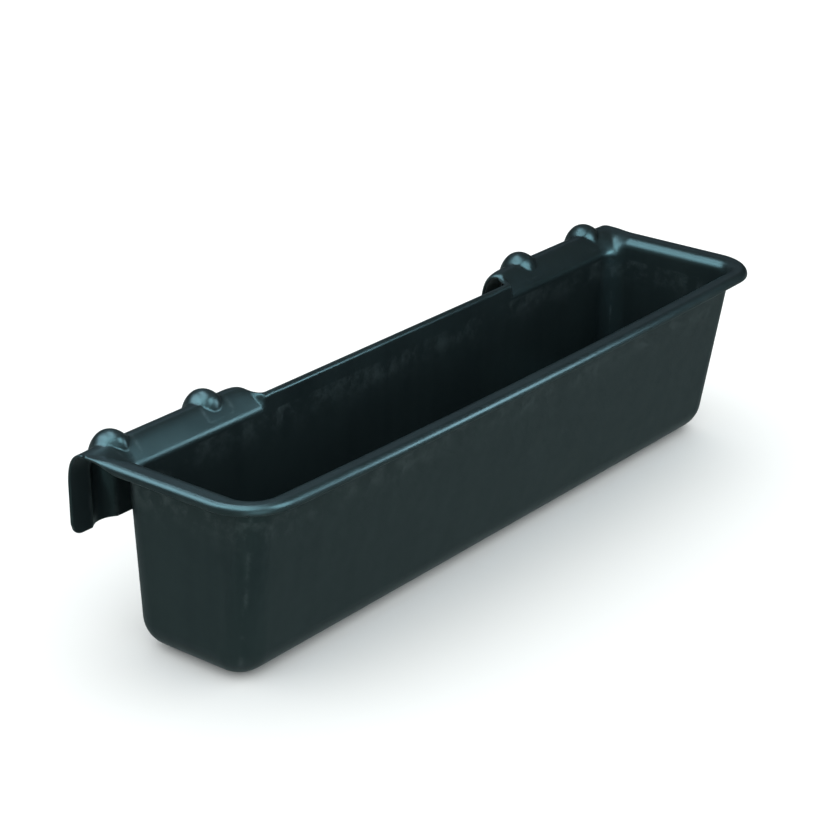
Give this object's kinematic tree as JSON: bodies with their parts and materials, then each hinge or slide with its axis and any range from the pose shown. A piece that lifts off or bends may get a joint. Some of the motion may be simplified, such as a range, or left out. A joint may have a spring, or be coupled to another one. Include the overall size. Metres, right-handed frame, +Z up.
{
  "type": "trough feeder",
  "caption": "Long open feed trough with a rolled rim, moulded in one piece with broad ribbed hooks on its back edge that hang it over a rail.",
  "frame": {"origin": "centre of the trough's flat underside", "axes": "+X along the trough to the right as seen from in front, +Y from the front wall to the wall that hangs on the rail, +Z up"},
  "size_m": [1, 0.2968, 0.2491],
  "materials": {
    "moulded_plastic": "satin green-black, faintly mottled"
  },
  "bodies": {
    "root": {"floor_panel": "moulded_plastic", "front_wall": "moulded_plastic", "back_wall": "moulded_plastic", "left_end_wall": "moulded_plastic", "right_end_wall": "moulded_plastic", "front_rim": "moulded_plastic", "back_rim": "moulded_plastic", "left_end_rim": "moulded_plastic", "right_end_rim": "moulded_plastic", "left_hook": "moulded_plastic", "right_hook": "moulded_plastic", "left_hook_inner_rib": "moulded_plastic", "right_hook_inner_rib": "moulded_plastic", "left_hook_outer_rib": "moulded_plastic", "right_hook_outer_rib": "moulded_plastic"}
  },
  "joints": []
}
